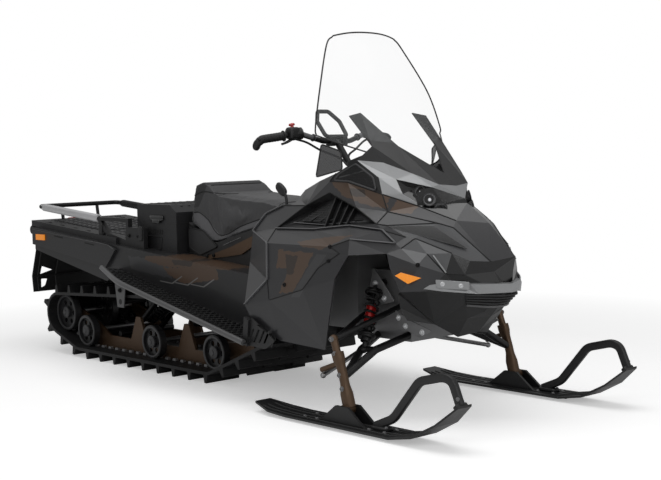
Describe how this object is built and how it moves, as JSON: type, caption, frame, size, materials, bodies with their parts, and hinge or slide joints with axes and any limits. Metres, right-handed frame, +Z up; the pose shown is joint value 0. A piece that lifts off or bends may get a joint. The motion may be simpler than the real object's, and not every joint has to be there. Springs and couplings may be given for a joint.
{
  "type": "snowmobile",
  "caption": "Wide-track utility snowmobile with steered skis on arms, a lugged track under a tunnel, a long seat, a lidded cargo box, a rear rack and a tall clear screen.",
  "frame": {"origin": "on the floor under the middle of the machine", "axes": "+X forward, +Y to the left, +Z up"},
  "size_m": [3.332, 1.134, 1.545],
  "materials": {
    "track_rubber": "moulded rubber",
    "wheel_rubber": "moulded rim and web",
    "steel": "plain",
    "rail_bronze": "satin bronze-brown coat",
    "frame_black": "satin black coat",
    "tunnel_black": "satin black coat",
    "tube_silver": "satin",
    "plastic_black": "grained",
    "panel_grey": "satin moulded panel",
    "panel_light": "satin moulded panel",
    "lamp_clear": "clear lens",
    "amber": "clear amber",
    "flap_rubber": "sheet rubber",
    "seat_vinyl": "grained vinyl",
    "gloss_black": "polished",
    "clear_screen": "clear",
    "cast_alloy": "as cast",
    "shock_metal": "satin",
    "ski_plastic": "moulded",
    "grip_rubber": "ribbed"
  },
  "bodies": {
    "chassis": {"track": "track_rubber", "track_wheels": "wheel_rubber", "wheel_axles": "steel", "drive_axle": "steel", "slide_rails": "rail_bronze", "rear_suspension_arms": "frame_black", "tunnel": "tunnel_black", "running_boards": "tunnel_black", "board_tubes": "tube_silver", "rear_deck": "plastic_black", "rear_side_panels": "panel_grey", "rear_reflectors": "amber", "snow_flap": "flap_rubber", "rear_rack": "tube_silver", "rear_bar": "plastic_black", "cargo_box": "plastic_black", "seat_cushion": "seat_vinyl", "seat_base": "plastic_black", "console": "panel_grey", "hood": "panel_grey", "side_panels": "panel_grey", "nose_cone": "gloss_black", "belly_pan": "plastic_black", "windshield": "clear_screen", "screen_fairing": "plastic_black", "arm_brackets": "tube_silver", "steering_frame": "frame_black", "front_bumper": "tube_silver", "engine_block": "cast_alloy", "front_subframe": "cast_alloy", "lower_arms": "frame_black", "upper_arms": "frame_black", "front_shocks": "shock_metal", "hood_sides": "panel_grey", "side_vents": "plastic_black", "spear_panels": "panel_light", "front_fenders": "plastic_black", "shoulder_panels": "panel_light", "side_louvres": "plastic_black", "headlamp_trims": "tube_silver", "headlamp_housings": "gloss_black", "headlamps": "lamp_clear", "rack_brackets": "plastic_black", "seat_braces": "rail_bronze", "shock_springs": "frame_black"},
    "handlebar": {"handlebar": "frame_black", "hand_grips": "grip_rubber", "hand_controls": "plastic_black", "grab_loop": "grip_rubber"},
    "cargo_lid": {"cargo_lid": "plastic_black"},
    "spindle_right": {"spindle_right": "rail_bronze"},
    "spindle_left": {"spindle_left": "rail_bronze"},
    "tie_rod_right": {"tie_rod_right": "steel"},
    "tie_rod_left": {"tie_rod_left": "steel"},
    "ski_right": {"ski_right": "ski_plastic", "ski_loop_right": "ski_plastic"},
    "ski_left": {"ski_left": "ski_plastic", "ski_loop_left": "ski_plastic"}
  },
  "joints": [
    {"name": "handlebar_steer", "type": "hinge", "parent": "chassis", "child": "handlebar", "pos_m": [0.505, 0, 1.092], "axis": [-0.6157, 0, 0.788], "range_deg": [-35, 35]},
    {"name": "cargo_lid_hinge", "type": "hinge", "parent": "chassis", "child": "cargo_lid", "pos_m": [-0.536, 0.236, 0.7223], "axis": [-1, 0, 0], "range_deg": [0, 100]},
    {"name": "steer_right", "type": "hinge", "parent": "chassis", "child": "spindle_right", "pos_m": [1.043, -0.487, 0.197], "axis": [-0.342, 0, 0.9397], "range_deg": [-28.5, 28.5]},
    {"name": "tie_rod_swing_right", "type": "hinge", "parent": "spindle_right", "child": "tie_rod_right", "pos_m": [0.92028, -0.487, 0.20671], "axis": [-0.342, 0, 0.9397], "range_deg": [-28.5, 28.5]},
    {"name": "ski_pitch_right", "type": "hinge", "parent": "spindle_right", "child": "ski_right", "pos_m": [1.074, -0.495, 0.074], "axis": [0, 1, 0], "range_deg": [-10, 12]},
    {"name": "steer_left", "type": "hinge", "parent": "chassis", "child": "spindle_left", "pos_m": [1.043, 0.487, 0.197], "axis": [-0.342, 0, 0.9397], "range_deg": [-28.5, 28.5]},
    {"name": "tie_rod_swing_left", "type": "hinge", "parent": "spindle_left", "child": "tie_rod_left", "pos_m": [0.92028, 0.487, 0.20671], "axis": [-0.342, 0, 0.9397], "range_deg": [-28.5, 28.5]},
    {"name": "ski_pitch_left", "type": "hinge", "parent": "spindle_left", "child": "ski_left", "pos_m": [1.074, 0.495, 0.074], "axis": [0, 1, 0], "range_deg": [-10, 12]}
  ],
  "couplings": [
    {"joint": "steer_right", "follows": "handlebar_steer", "ratio": 0.8},
    {"joint": "tie_rod_swing_right", "follows": "handlebar_steer", "ratio": -0.8},
    {"joint": "steer_left", "follows": "handlebar_steer", "ratio": 0.8},
    {"joint": "tie_rod_swing_left", "follows": "handlebar_steer", "ratio": -0.8}
  ]
}
